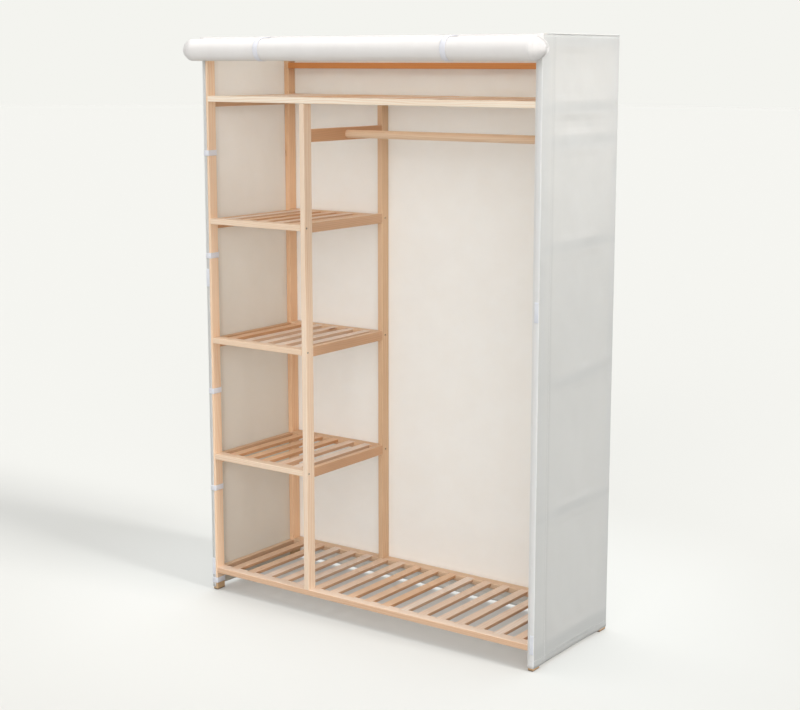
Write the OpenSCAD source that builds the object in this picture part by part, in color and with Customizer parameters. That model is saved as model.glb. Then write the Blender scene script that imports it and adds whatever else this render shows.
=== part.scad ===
// Fabric wardrobe: a pine lath frame with slatted shelves and a hanging rod, under a cloth cover.
// The front is -Y, the left end is -X and the floor is z = 0. Sizes are in millimetres.

/* [Frame] */
// Width over the end posts
frame_w = 1200; // [1000:10:1400]
// Depth over the posts
frame_d = 418; // [380:2:520]
// Height of the end posts and of the roof rails
frame_h = 1748; // [1700:4:1880]
// Thickness of every lath
lath_t = 18; // [16:1:20]
// Width of the posts and of the long rails
lath_w = 35; // [32:1:40]
// Height of the cross rails
cross_h = 30; // [26:1:34]
// Width of the bevel round the foot of an end post
foot_edge = 3; // [1:0.5:4]
// How far the end frames' cross rails lie below the long rails
end_drop = 10; // [8:1:12]
// Rounding of the lath edges
edge_r = 2.5; // [1:0.5:4]
// Distance from the frame's top down to the middle of the back brace
brace_drop = 84; // [60:1:120]

/* [Shelves] */
// Height of the middle of the bottom shelf's rails
bottom_z = 67; // [60:1:80]
// Distance from the middle of the top shelf's rails up to the frame's top
top_space = 183; // [160:1:220]
// Clear width of the shelf column
column_w = 359; // [300:1:420]
// Width of a slat
slat_w = 30; // [26:1:36]
// Thickness of a slat
slat_t = 10; // [8:0.5:12]
// Widest gap between two slats
slat_gap = 37; // [30:1:45]
// Length of each slat end that lies in the rail
slat_seat = 10; // [8:0.5:12]
// Rounding of the slat edges
slat_r = 2; // [1:0.5:3]

/* [Hanging rod] */
// Diameter of the rod
rod_d = 24; // [20:1:28]
// Distance from the top shelf's rails down to the rod
rod_drop = 103; // [80:1:140]
// Height of the rails that carry the rod
rod_rail_h = 38; // [34:1:50]
// Depth of the rod's sockets
rod_seat = 8; // [6:0.5:9]

/* [Fasteners] */
// Diameter of a screw's shank
screw_d = 4.6; // [4:0.1:5]
// Length of a screw below its head
screw_l = 50; // [40:1:60]
// Diameter of a screw's head
head_d = 6.8; // [6:0.1:7.4]
// Height of a screw's head
head_h = 4; // [3:0.5:5]
// Depth at which a head sits in its post
head_seat = 6; // [5:0.5:8]
// Distance of the front screws from the frame's front
screw_front = 9.5; // [8:0.5:12]
// Diameter of a dowel
dowel_d = 8; // [6:0.5:10]
// Length of a dowel
dowel_l = 25; // [20:1:26]

/* [Cover] */
// Thickness of the cloth
cloth_t = 1.2; // [0.8:0.1:1.6]
// Height of the cover's hem above the floor
hem_z = 10; // [4:1:20]
// Width of the left facing, over its post's front; the right one covers the whole front
facing_w = 12; // [10:1:16]
// Width of the post ties
tape_w = 17; // [12:1:25]
// Thickness of the tapes and patches
tape_t = 1; // [0.6:0.1:1.4]
// Height of a closure patch
patch_h = 56; // [40:1:70]

/* [Curtain] */
// Diameter of the rolled curtain
roll_d = 67; // [56:1:70]
// Radius of the hollow in the middle of the roll
roll_core = 4; // [3:0.5:8]
// Distance from the roof's front edge down to the middle of the roll
roll_drop = 38; // [38:1:60]
// How far the roll sticks out at each end
roll_over = 35; // [10:5:80]
// Distance of each roll tie from the middle of the front
tie_x = 330; // [250:10:400]

/* [Hidden] */

$fn = 24;
pine = "BurlyWood";
pine_light = "Wheat";
steel = "Silver";
cloth = "Ivory";
tape = "White";

fit = 0.15;                       // side clearance of a slat in its notch
bore_gap = 0.05;                  // radial clearance of a dowel or of the rod
screw_gap = 0.2;                  // radial clearance round a screw
cloth_gap = 0.3;                  // clearance between the cloth and what it lies on
cut = 1;                          // how far a cut runs past a face

inner_x = frame_w / 2 - lath_t;   // inner faces of the end posts
end_x = frame_w / 2 - lath_t / 2; // middle of the end posts
column_x = -inner_x + column_w;   // left face of the middle posts
middle_x = column_x + lath_t / 2; // middle of the middle posts
post_y = (frame_d - lath_w) / 2;  // middle of the posts, front and back
inner_y = frame_d / 2 - lath_w;   // inner edges of the posts and long rails

shelf_step = (frame_h - top_space - bottom_z) / 4;
shelf_z = [for (i = [0:4]) bottom_z + i * shelf_step];
roof_z = frame_h - lath_t / 2;
roof_cross_z = frame_h - cross_h / 2;
brace_z = frame_h - brace_drop;
rod_z = shelf_z[4] - rod_drop;
column_z = [shelf_z[1], shelf_z[2], shelf_z[3]];
end_z = concat([for (z = shelf_z) z - end_drop], [roof_cross_z]);
long_z = concat(shelf_z, [roof_z]);

cover_x = frame_w / 2 + cloth_gap;  // inside of the side panels
cover_y = frame_d / 2 + cloth_gap;  // inside of the back panel and of the facings
cover_z = frame_h + cloth_gap;      // underside of the roof panel
roof_top = cover_z + cloth_t;
front_y = -cover_y - cloth_t;       // front of the facings and of the roof panel

// Tapes that tie the cover to the left front post: one below the bottom cross rail,
// the others at shares of the frame's height
tie_share = [0.1939, 0.3741, 0.6196, 0.8009];
tie_z = concat([end_z[0] - cross_h / 2 - cloth_gap - tape_w / 2],
               [for (share = tie_share) share * frame_h]);
// Middles of the closure patches: one above the lowest tie, one at a share of the height
patch_rise = 9;
patch_share = 0.5801;
patch_z = [tie_z[0] + tape_w / 2 + patch_rise + patch_h / 2, patch_share * frame_h];

// Rolled curtain, as a section in the plane of y and z; its leaf hangs from a seam on the
// roof's edge, with room for the roll ties between it and the cover
roll_r = roll_d / 2;
seam_y = front_y - cloth_gap;
leaf_y = seam_y - tape_t - cloth_gap;
leaf_top = roof_top - cloth_gap;
tie_top = leaf_top - cloth_t - 2 * cloth_gap - tape_t;
roll_y = leaf_y - roll_r;
roll_z = roof_top - roll_drop;
curtain_drop = frame_h - hem_z;
roll_pitch = PI * (roll_r * roll_r - roll_core * roll_core) / curtain_drop;
roll_turns = (roll_r - roll_core) / roll_pitch;
turn_steps = 20;
roll_steps = round(roll_turns * turn_steps);

// Middles of the slats that fill the clear width from x0 to x1 with even gaps
function slat_xs(x0, x1) =
    let (clear = x1 - x0,
         count = ceil((clear - slat_gap) / (slat_w + slat_gap)),
         gap = (clear - count * slat_w) / (count + 1))
    [for (i = [0:count - 1]) x0 + gap + slat_w / 2 + i * (slat_w + gap)];

// A board's section with rounded edges
module rounded_section(a, b, r) {
    square([a - 2 * r, b], center = true);
    square([a, b - 2 * r], center = true);
    for (x = [-1, 1], y = [-1, 1])
        translate([x * (a / 2 - r), y * (b / 2 - r)]) circle(r);
}

// A lath along X, from x0 to x1
module lath_x(x0, x1, y, z) {
    translate([x0, y, z]) rotate([90, 0, 90])
        linear_extrude(x1 - x0) rounded_section(lath_w, lath_t, edge_r);
}

// A board along Y, its length centred on y = 0
module board_y(x, z, len, a, b, r) {
    translate([x, len / 2, z]) rotate([90, 0, 0])
        linear_extrude(len) rounded_section(a, b, r);
}

// A hole along X that starts at x and runs the way of dir
module hole_x(x, y, z, d, len, dir) {
    translate([x, y, z]) rotate([0, dir * 90, 0]) cylinder(d = d, h = len);
}

// Distance of the screws' line from the middle of the frame, front (-1) or back (1)
function screw_y(side) = side < 0 ? -frame_d / 2 + screw_front : post_y;

// Counterbored holes through a post, with the heads on the face that dir points to
module post_screw_holes(x, side, heights, dir) {
    for (z = heights) {
        hole_x(x + dir * (lath_t / 2 + cut), screw_y(side), z, head_d + 2 * screw_gap,
               head_seat + cut, -dir);
        hole_x(x + dir * lath_t / 2, screw_y(side), z, screw_d + 2 * screw_gap,
               lath_t + cut, -dir);
    }
}

// Dowel holes in the inner edge of a post
module post_dowel_holes(x, side, heights) {
    for (z = heights)
        translate([x, side * (inner_y - cut), z]) rotate([-side * 90, 0, 0])
            cylinder(d = dowel_d + 2 * bore_gap, h = dowel_l / 2 + cloth_gap + cut);
}

// Heights of the screws through an end post; the left ones also hold the column's rails,
// and the back ones hold the brace
function end_screw_z(side_x, side_y) =
    concat(side_x < 0 ? long_z : [shelf_z[0], shelf_z[4], roof_z], side_y > 0 ? [brace_z] : []);

// Cuts that bevel the four bottom edges of a post
module foot_bevels() {
    cut_w = foot_edge * sqrt(2);
    for (side = [-1, 1]) {
        translate([side * lath_t / 2, 0, 0]) rotate([0, 45, 0])
            cube([cut_w, lath_w + 2 * cut, cut_w], center = true);
        translate([0, side * lath_w / 2, 0]) rotate([45, 0, 0])
            cube([lath_t + 2 * cut, cut_w, cut_w], center = true);
    }
}

// An end post; side_x and side_y are -1 or 1
module end_post(side_x, side_y) {
    color(pine_light) difference() {
        translate([side_x * end_x, side_y * post_y, 0]) difference() {
            linear_extrude(frame_h) rounded_section(lath_t, lath_w, edge_r);
            foot_bevels();
        }
        post_screw_holes(side_x * end_x, side_y, end_screw_z(side_x, side_y), side_x);
        post_dowel_holes(side_x * end_x, side_y, side_x < 0 ? end_z : concat(end_z, [rod_z]));
    }
}

// A middle post, standing on the bottom rail and carrying the top rail
module middle_post(side_y) {
    low = shelf_z[0] + lath_t / 2;
    high = shelf_z[4] - lath_t / 2;
    color(pine_light) difference() {
        translate([middle_x, side_y * post_y, low])
            linear_extrude(high - low) rounded_section(lath_t, lath_w, edge_r);
        post_screw_holes(middle_x, side_y, column_z, 1);
        post_dowel_holes(middle_x, side_y, concat(column_z, [rod_z]));
        for (z = [low - cut, high + cut - screw_l])
            translate([middle_x, side_y * post_y, z])
                cylinder(d = screw_d + 2 * screw_gap, h = screw_l);
    }
}

// Holes for the screws in a rail's end face at x, running the way of dir
module rail_end_hole(x, side, z, dir) {
    hole_x(x - dir * cut, screw_y(side), z, screw_d + 2 * screw_gap, screw_l + cut, dir);
}

// Notches in a shelf rail's inner edge that the slat ends lie in
module slat_notches(x0, x1, side, z) {
    deep = slat_seat + fit;
    for (x = slat_xs(x0, x1))
        translate([x - slat_w / 2 - fit, side < 0 ? -inner_y - deep : inner_y - cut,
                   z + lath_t / 2 - slat_t])
            cube([slat_w + 2 * fit, deep + cut, slat_t + cut]);
}

// A rail of a shelf, from x0 to x1, with the slats' notches
module shelf_rail(x0, x1, side, z) {
    color(pine) difference() {
        lath_x(x0, x1, side * post_y, z);
        slat_notches(x0, x1, side, z);
        rail_end_hole(x0, side, z, 1);
        rail_end_hole(x1, side, z, -1);
        children();
    }
}

// The screw hole between a full-width rail and the end of a middle post;
// up is 1 where the head lies in the underside and -1 where it lies in the top
module middle_post_hole(side, z, up) {
    translate([middle_x, side * post_y, z]) {
        translate([0, 0, -lath_t / 2 - cut])
            cylinder(d = screw_d + 2 * screw_gap, h = lath_t + 2 * cut);
        translate([0, 0, up > 0 ? -lath_t / 2 - cut : lath_t / 2 - head_seat])
            cylinder(d = head_d + 2 * screw_gap, h = head_seat + cut);
    }
}

module full_rail(side, level) {
    shelf_rail(-inner_x, inner_x, side, shelf_z[level])
        middle_post_hole(side, shelf_z[level], level == 0 ? 1 : -1);
}

module column_rail(side, level) {
    shelf_rail(-inner_x, column_x, side, shelf_z[level]);
}

// A full-width rail without slats
module plain_rail(side, z) {
    color(pine) difference() {
        lath_x(-inner_x, inner_x, side * post_y, z);
        rail_end_hole(-inner_x, side, z, 1);
        rail_end_hole(inner_x, side, z, -1);
    }
}

// The slats of one shelf, flush with the top of its rails
module slats(x1, level) {
    color(pine_light)
        for (x = slat_xs(-inner_x, x1))
            board_y(x, shelf_z[level] + (lath_t - slat_t) / 2, 2 * (inner_y + slat_seat),
                    slat_w, slat_t, slat_r);
}

// A cross rail between a front and a back post, held by a dowel at each end
module cross_rail(x, z, h) {
    color(pine) difference() {
        board_y(x, z, 2 * inner_y, lath_t, h, edge_r);
        for (side = [-1, 1])
            translate([x, side * (inner_y + cut), z]) rotate([side * 90, 0, 0])
                cylinder(d = dowel_d + 2 * bore_gap, h = dowel_l / 2 + cloth_gap + cut);
        children();
    }
}

// A rail that carries the rod: a socket on the face that dir points to, and a screw behind it
module rod_rail(x, dir) {
    cross_rail(x, rod_z, rod_rail_h) {
        hole_x(x + dir * (lath_t / 2 + cut), 0, rod_z, rod_d + 2 * bore_gap, rod_seat + cut, -dir);
        hole_x(x + dir * lath_t / 2, 0, rod_z, screw_d + 2 * screw_gap, lath_t + cut, -dir);
        hole_x(x - dir * (lath_t / 2 + cut), 0, rod_z, head_d + 2 * screw_gap,
               head_h + cut, dir);
    }
}

rod_x0 = column_x + lath_t - rod_seat + cloth_gap;
rod_x1 = inner_x + rod_seat - cloth_gap;

module hanging_rod() {
    color(pine_light) difference() {
        hole_x(rod_x0, 0, rod_z, rod_d, rod_x1 - rod_x0, 1);
        hole_x(rod_x0 - cut, 0, rod_z, screw_d + 2 * screw_gap, screw_l, 1);
        hole_x(rod_x1 + cut, 0, rod_z, screw_d + 2 * screw_gap, screw_l, -1);
    }
}

// A screw with its seat at z = 0 and its shank down; the head has a six-sided socket
module screw(len) {
    tip = screw_d;
    difference() {
        union() {
            cylinder(d = head_d, h = head_h);
            translate([0, 0, tip - len]) cylinder(d = screw_d, h = len - tip);
            translate([0, 0, -len]) cylinder(d1 = screw_d / 4, d2 = screw_d, h = tip);
        }
        translate([0, 0, head_h / 3]) cylinder(d = head_d / 2, h = head_h, $fn = 6);
    }
}

// A screw along X whose seat is at x and whose head points the way of dir
module screw_x(x, y, z, dir, len) {
    translate([x, y, z]) rotate([0, dir * 90, 0]) screw(len);
}

module frame_screws() {
    seat = lath_t / 2 - head_seat;
    len = screw_l - head_seat;
    color(steel) {
        for (side = [-1, 1]) {
            for (x = [-1, 1], z = end_screw_z(x, side))
                screw_x(x * (end_x + seat), screw_y(side), z, x, len);
            for (z = column_z) screw_x(middle_x + seat, screw_y(side), z, 1, len);
            translate([middle_x, side * post_y, shelf_z[0] - seat])
                rotate([180, 0, 0]) screw(len);
            translate([middle_x, side * post_y, shelf_z[4] + seat]) screw(len);
        }
        screw_x(middle_x - lath_t / 2 + head_h, 0, rod_z, -1, len);
        screw_x(end_x + lath_t / 2 - head_h, 0, rod_z, 1, len);
    }
}

// The dowels at both ends of each cross rail
module dowel_row(x, heights) {
    for (side = [-1, 1], z = heights)
        translate([x, side * inner_y + dowel_l / 2, z]) rotate([90, 0, 0])
            cylinder(d = dowel_d, h = dowel_l);
}

module frame_dowels() {
    color(pine) {
        dowel_row(-end_x, end_z);
        dowel_row(end_x, concat(end_z, [rod_z]));
        dowel_row(middle_x, concat(column_z, [rod_z]));
    }
}

// A side panel of the cover; side is -1 or 1
module cover_side(side) {
    color(cloth) translate([side > 0 ? cover_x : -cover_x - cloth_t, front_y, hem_z])
        cube([cloth_t, -2 * front_y, cover_z - hem_z]);
}

module cover_back() {
    color(cloth) translate([-cover_x, cover_y, hem_z])
        cube([2 * cover_x, cloth_t, cover_z - hem_z]);
}

module cover_roof() {
    color(cloth) translate([-cover_x - cloth_t, front_y, cover_z])
        cube([2 * (cover_x + cloth_t), -2 * front_y, cloth_t]);
}

// The strip of the side panel that folds round the front of its post
module facing(side) {
    width = (side < 0 ? facing_w : lath_t) + cloth_gap;
    color(cloth) translate([side < 0 ? -cover_x : cover_x - width, front_y, hem_z])
        cube([width, cloth_t, cover_z - hem_z]);
}

// Tapes that run from the facing round the left front post to the side panel
module post_ties() {
    post_x = -inner_x + cloth_gap;
    back = -inner_y + cloth_gap;
    color(tape) for (z = tie_z)
        translate([0, 0, z - tape_w / 2]) {
            translate([-cover_x, front_y - tape_t, 0])
                cube([post_x + tape_t + cover_x, tape_t, tape_w]);
            translate([post_x, front_y, 0]) cube([tape_t, back + tape_t - front_y, tape_w]);
            translate([-cover_x, back, 0]) cube([cover_x + post_x, tape_t, tape_w]);
        }
}

// Hook-and-loop patches sewn to the facings
module closure_patches() {
    color(tape) for (x = [-cover_x, cover_x - facing_w], z = patch_z)
        translate([x, front_y - tape_t, z - patch_h / 2]) cube([facing_w, tape_t, patch_h]);
}

// A turn's point at step i; the roll winds outward and ends where it meets its leaf
function roll_point(i, inset) =
    let (r = roll_core + (roll_r - roll_core) * i / roll_steps - inset,
         a = -360 * roll_turns * (1 - i / roll_steps))
    [roll_y + r * cos(a), roll_z + r * sin(a)];

// Distance from a point to the line between two others
function line_gap(p, a, b) =
    let (along = b - a, t = max(0, min(1, (p - a) * along / (along * along))))
    norm(p - a - t * along);

// Least gap between the turns, from every outer point to the turn that lies round it
roll_gap = min([for (i = [0:roll_steps - turn_steps - 3], j = [turn_steps - 2:turn_steps + 1])
    line_gap(roll_point(i, 0), roll_point(i + j, cloth_t), roll_point(i + j + 1, cloth_t))]);
echo(str("Turns of the roll: ", roll_turns, ", least gap between them: ", roll_gap, " mm"));

// The front curtain, rolled up under the roof's front edge, with the leaf that it hangs from
// and the seam at the leaf's top
module curtain_roll() {
    outer = [for (i = [0:roll_steps]) roll_point(i, 0)];
    inner = [for (i = [roll_steps:-1:0]) roll_point(i, cloth_t)];
    leaf = [[leaf_y, leaf_top - cloth_t], [seam_y, leaf_top - cloth_t],
            [seam_y, leaf_top], [leaf_y - cloth_t, leaf_top]];
    color(cloth) translate([-frame_w / 2 - roll_over, 0, 0]) rotate([90, 0, 90])
        linear_extrude(frame_w + 2 * roll_over) polygon(concat(outer, leaf, inner));
}

// Section of a loop round the roll and the top of its leaf, at a distance from the cloth
module tie_section(distance) {
    hull() {
        translate([roll_y, roll_z]) circle(roll_r + distance, $fn = 32);
        for (y = [leaf_y, leaf_y - cloth_t])
            translate([y, tie_top]) circle(distance, $fn = 12);
    }
}

// Ties that run from the leaf's back, under the roll and up to the leaf's front
module roll_ties() {
    color(tape) for (x = [-tie_x, tie_x])
        translate([x - tape_w / 2, 0, 0]) rotate([90, 0, 90])
            linear_extrude(tape_w) difference() {
                tie_section(cloth_gap + tape_t);
                tie_section(cloth_gap);
                translate([leaf_y - cloth_t - cloth_gap, roll_z])
                    square([cloth_t + 2 * cloth_gap, roll_r * 2]);
            }
}

end_post(-1, -1);  // post_front_left
end_post(1, -1);  // post_front_right
end_post(-1, 1);  // post_back_left
end_post(1, 1);  // post_back_right
middle_post(-1);  // post_front_middle
middle_post(1);  // post_back_middle
full_rail(-1, 0);  // bottom_rail_front
full_rail(1, 0);  // bottom_rail_back
slats(inner_x, 0);  // bottom_slats
column_rail(-1, 1);  // lower_rail_front
column_rail(1, 1);  // lower_rail_back
slats(column_x, 1);  // lower_slats
column_rail(-1, 2);  // middle_rail_front
column_rail(1, 2);  // middle_rail_back
slats(column_x, 2);  // middle_slats
column_rail(-1, 3);  // upper_rail_front
column_rail(1, 3);  // upper_rail_back
slats(column_x, 3);  // upper_slats
full_rail(-1, 4);  // top_rail_front
full_rail(1, 4);  // top_rail_back
slats(inner_x, 4);  // top_slats
plain_rail(-1, roof_z);  // roof_rail_front
plain_rail(1, roof_z);  // roof_rail_back
plain_rail(1, brace_z);  // brace_rail_back
cross_rail(-end_x, end_z[0], cross_h);  // left_cross_bottom
cross_rail(-end_x, end_z[1], cross_h);  // left_cross_lower
cross_rail(-end_x, end_z[2], cross_h);  // left_cross_middle
cross_rail(-end_x, end_z[3], cross_h);  // left_cross_upper
cross_rail(-end_x, end_z[4], cross_h);  // left_cross_top
cross_rail(-end_x, end_z[5], cross_h);  // left_cross_roof
cross_rail(end_x, end_z[0], cross_h);  // right_cross_bottom
cross_rail(end_x, end_z[1], cross_h);  // right_cross_lower
cross_rail(end_x, end_z[2], cross_h);  // right_cross_middle
cross_rail(end_x, end_z[3], cross_h);  // right_cross_upper
cross_rail(end_x, end_z[4], cross_h);  // right_cross_top
cross_rail(end_x, end_z[5], cross_h);  // right_cross_roof
cross_rail(middle_x, column_z[0], cross_h);  // column_cross_lower
cross_rail(middle_x, column_z[1], cross_h);  // column_cross_middle
cross_rail(middle_x, column_z[2], cross_h);  // column_cross_upper
rod_rail(middle_x, 1);  // rod_rail_left
rod_rail(end_x, -1);  // rod_rail_right
hanging_rod();
frame_screws();
frame_dowels();
cover_side(-1);  // cover_left
cover_side(1);  // cover_right
cover_back();
cover_roof();
facing(-1);  // facing_left
facing(1);  // facing_right
post_ties();
closure_patches();
curtain_roll();
roll_ties();
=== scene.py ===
import bpy
import bmesh
import math
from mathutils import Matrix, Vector, noise


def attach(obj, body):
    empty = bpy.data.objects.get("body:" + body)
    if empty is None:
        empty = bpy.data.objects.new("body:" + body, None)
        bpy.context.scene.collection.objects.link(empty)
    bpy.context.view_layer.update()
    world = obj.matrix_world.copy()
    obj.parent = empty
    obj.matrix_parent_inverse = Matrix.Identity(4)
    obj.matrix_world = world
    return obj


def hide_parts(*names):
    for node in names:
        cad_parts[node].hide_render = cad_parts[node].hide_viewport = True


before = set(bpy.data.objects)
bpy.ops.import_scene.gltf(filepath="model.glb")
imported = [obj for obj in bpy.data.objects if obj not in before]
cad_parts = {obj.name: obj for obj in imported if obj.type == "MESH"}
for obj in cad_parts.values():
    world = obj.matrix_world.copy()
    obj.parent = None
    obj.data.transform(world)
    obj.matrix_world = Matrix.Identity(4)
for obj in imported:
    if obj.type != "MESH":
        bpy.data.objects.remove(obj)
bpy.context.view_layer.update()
bpy.context.scene.view_settings.view_transform = "Standard"

# Sizes in metres, the same values as the frame's source
FRAME_W = 1.200
FRAME_D = 0.418
FRAME_H = 1.748
LATH_T = 0.018
LATH_W = 0.035
CROSS_H = 0.030
ROD_RAIL_H = 0.038
BOTTOM_Z = 0.067
TOP_SPACE = 0.183
END_DROP = 0.010
ROD_DROP = 0.103
BRACE_DROP = 0.084
COLUMN_W = 0.359
SLAT_W = 0.030
SLAT_GAP = 0.037
CLOTH_T = 0.0012
CLOTH_GAP = 0.0003
TAPE_T = 0.001
HEM_Z = 0.010
FACING_W = 0.012

# Middles and inner faces of the end posts, and the left face of the middle posts
POST_X = FRAME_W / 2 - LATH_T / 2
POST_Y = FRAME_D / 2 - LATH_W / 2
INNER_X = FRAME_W / 2 - LATH_T
INNER_Y = FRAME_D / 2 - LATH_W
COLUMN_X = -INNER_X + COLUMN_W

# Middles of the shelves' long rails, of the end frames' cross rails, of the rod and of the brace
SHELF_STEP = (FRAME_H - TOP_SPACE - BOTTOM_Z) / 4
SHELF_Z = [BOTTOM_Z + SHELF_STEP * i for i in range(5)]
CROSS_Z = [z - END_DROP for z in SHELF_Z] + [FRAME_H - CROSS_H / 2]
ROD_Z = SHELF_Z[4] - ROD_DROP
BRACE_Z = FRAME_H - BRACE_DROP

# The middle of the cloth's thickness at the sides, at the front and back, and on the roof
SIDE_X = FRAME_W / 2 + CLOTH_GAP + CLOTH_T / 2
WALL_Y = FRAME_D / 2 + CLOTH_GAP + CLOTH_T / 2
ROOF_Z = FRAME_H + CLOTH_GAP + CLOTH_T / 2


# Small helpers for node trees and objects

class Tree:
    """Makes and links nodes of one tree."""

    def __init__(self, tree):
        self.tree = tree

    def add(self, kind, **settings):
        node = self.tree.nodes.new(kind)
        for name, value in settings.items():
            setattr(node, name, value)
        return node

    def join(self, source, target):
        self.tree.links.new(source, target)

    def feed(self, target, value):
        """Joins a socket to a target, or sets the target to a plain value."""
        if isinstance(value, bpy.types.NodeSocket):
            self.join(value, target)
        else:
            target.default_value = value

    def math(self, operation, a, b=0.0, clamp=False):
        node = self.add("ShaderNodeMath", operation=operation, use_clamp=clamp)
        self.feed(node.inputs[0], a)
        self.feed(node.inputs[1], b)
        return node.outputs[0]

    def stretch(self, vector, scale, place=(0, 0, 0), turn=(0, 0, 0)):
        node = self.add("ShaderNodeMapping")
        self.feed(node.inputs["Vector"], vector)
        node.inputs["Scale"].default_value = scale
        node.inputs["Location"].default_value = place
        node.inputs["Rotation"].default_value = turn
        return node.outputs["Vector"]

    def noise(self, vector, scale, detail=2.0, rough=0.5):
        node = self.add("ShaderNodeTexNoise")
        self.feed(node.inputs["Vector"], vector)
        node.inputs["Scale"].default_value = scale
        node.inputs["Detail"].default_value = detail
        node.inputs["Roughness"].default_value = rough
        return node.outputs["Fac"]

    def ramp(self, value, low, high, to_low=0.0, to_high=1.0, curve="SMOOTHSTEP"):
        node = self.add("ShaderNodeMapRange", interpolation_type=curve)
        self.feed(node.inputs["Value"], value)
        node.inputs["From Min"].default_value = low
        node.inputs["From Max"].default_value = high
        node.inputs["To Min"].default_value = to_low
        node.inputs["To Max"].default_value = to_high
        return node.outputs["Result"]

    def blend(self, factor, a, b, kind="MIX"):
        node = self.add("ShaderNodeMix", data_type="RGBA", blend_type=kind)
        self.feed(node.inputs["Factor"], factor)
        self.feed(node.inputs["A"], a)
        self.feed(node.inputs["B"], b)
        return node.outputs["Result"]

    def parts(self, vector):
        """The X, Y and Z of a vector, each by its name."""
        node = self.add("ShaderNodeSeparateXYZ")
        self.join(vector, node.inputs[0])
        return node.outputs

    def bump(self, shader, height, strength, distance):
        """Gives a shader the relief of a height."""
        node = self.add("ShaderNodeBump")
        node.inputs["Strength"].default_value = strength
        node.inputs["Distance"].default_value = distance
        self.join(height, node.inputs["Height"])
        self.join(node.outputs["Normal"], shader.inputs["Normal"])


def new_group(name, inputs, outputs):
    """A new group of nodes, with its tree and the nodes that bring its inputs and take its results."""
    group = bpy.data.node_groups.new(name, "ShaderNodeTree")
    for label, kind, value in inputs:
        socket = group.interface.new_socket(label, in_out="INPUT", socket_type=kind)
        if value is not None:
            socket.default_value = value
    for label, kind in outputs:
        group.interface.new_socket(label, in_out="OUTPUT", socket_type=kind)
    tree = Tree(group)
    return group, tree, tree.add("NodeGroupInput"), tree.add("NodeGroupOutput")


def place_group(tree, group, **values):
    node = tree.add("ShaderNodeGroup", node_tree=group)
    for name, value in values.items():
        tree.feed(node.inputs[name.replace("_", " ")], value)
    return node


def new_material(name):
    material = bpy.data.materials.new(name)
    material.use_nodes = True
    tree = Tree(material.node_tree)
    return material, tree, material.node_tree.nodes["Principled BSDF"]


def add_object(name, data):
    thing = bpy.data.objects.new(name, data)
    bpy.context.collection.objects.link(thing)
    return thing


def look_along(thing, direction):
    """Turns a camera or a lamp so that it looks along a direction."""
    thing.rotation_euler = direction.to_track_quat("-Z", "Y").to_euler()


# Camera, lights and floor

# The camera, as it was fitted to the photograph: lens in millimetres, shift, angles and place
CAMERA_LENS = 70.82
CAMERA_SHIFT = -0.025
CAMERA_AZIMUTH = math.radians(35.90)
CAMERA_TILT = math.radians(9.90)
CAMERA_PLACE = (2.7383, -3.7956, 1.6804)

# Colors of the backdrop, of the light from the sky, and of the glow that lifts the floor
BACKDROP = (0.904, 0.904, 0.863, 1)
SKY = (1.0, 0.995, 0.98, 1)
GLOW = (1.0, 1.0, 0.96, 1)

# The floor's color as the camera sees it, near the wardrobe and far from it, and as it throws light back;
# the near color is a little cooler, painted light that cools the warm light bounced from the wardrobe
FLOOR_NEAR = (0.614, 0.625, 0.616, 1)
FLOOR_FAR = (0.628, 0.631, 0.614, 1)
FLOOR_BOUNCE = (0.39, 0.39, 0.377, 1)
# Distances from the wardrobe's middle where the near look ends and the far look starts
NEAR_END = 0.45
FAR_START = 1.5
# Strength of the glow near the wardrobe, where it is painted light that lightens the wardrobe's shade
# on the floor, and far from it
GLOW_NEAR = 0.175
GLOW_FAR = 0.03


def place_camera():
    """The camera stands where the photograph was taken from."""
    data = bpy.data.cameras.new("camera")
    data.lens = CAMERA_LENS
    data.sensor_width = 36
    data.sensor_fit = "HORIZONTAL"
    data.shift_y = CAMERA_SHIFT
    data.clip_end = 60
    camera = add_object("camera", data)
    camera.location = CAMERA_PLACE
    look_along(camera, Vector((-math.sin(CAMERA_AZIMUTH) * math.cos(CAMERA_TILT),
                               math.cos(CAMERA_AZIMUTH) * math.cos(CAMERA_TILT), -math.sin(CAMERA_TILT))))
    bpy.context.scene.camera = camera


def add_sun(name, towards, strength, breadth, color):
    """A lamp that is far away towards one side; the more degrees of breadth, the softer its shadows."""
    data = bpy.data.lights.new(name, "SUN")
    data.energy = strength
    data.angle = math.radians(breadth)
    data.color = color
    look_along(add_object(name, data), -Vector(towards))


def straight_rays(tree):
    """1 for rays that show the scene itself: from the camera, a reflection or through a sheer piece."""
    rays = tree.add("ShaderNodeLightPath")
    seen = rays.outputs["Is Camera Ray"]
    for name in ("Is Glossy Ray", "Is Transmission Ray"):
        seen = tree.math("MAXIMUM", seen, rays.outputs[name])
    return seen


def light_world(low, high, brightest):
    """A soft studio sky, brightest towards one side, that shows the pale backdrop to the camera."""
    world = bpy.data.worlds.new("studio")
    bpy.context.scene.world = world
    world.use_nodes = True
    world.node_tree.nodes.clear()
    tree = Tree(world.node_tree)
    side = tree.add("ShaderNodeVectorMath", operation="DOT_PRODUCT")
    tree.join(tree.add("ShaderNodeTexCoord").outputs["Object"], side.inputs[0])
    side.inputs[1].default_value = Vector(brightest).normalized()
    sky = tree.add("ShaderNodeBackground")
    sky.inputs["Color"].default_value = SKY
    tree.join(tree.ramp(side.outputs["Value"], -0.2, 0.9, low, high), sky.inputs["Strength"])
    backdrop = tree.add("ShaderNodeBackground")
    backdrop.inputs["Color"].default_value = BACKDROP
    mix = tree.add("ShaderNodeMixShader")
    tree.join(straight_rays(tree), mix.inputs[0])
    tree.join(sky.outputs[0], mix.inputs[1])
    tree.join(backdrop.outputs[0], mix.inputs[2])
    tree.join(mix.outputs[0], tree.add("ShaderNodeOutputWorld").inputs["Surface"])


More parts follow.
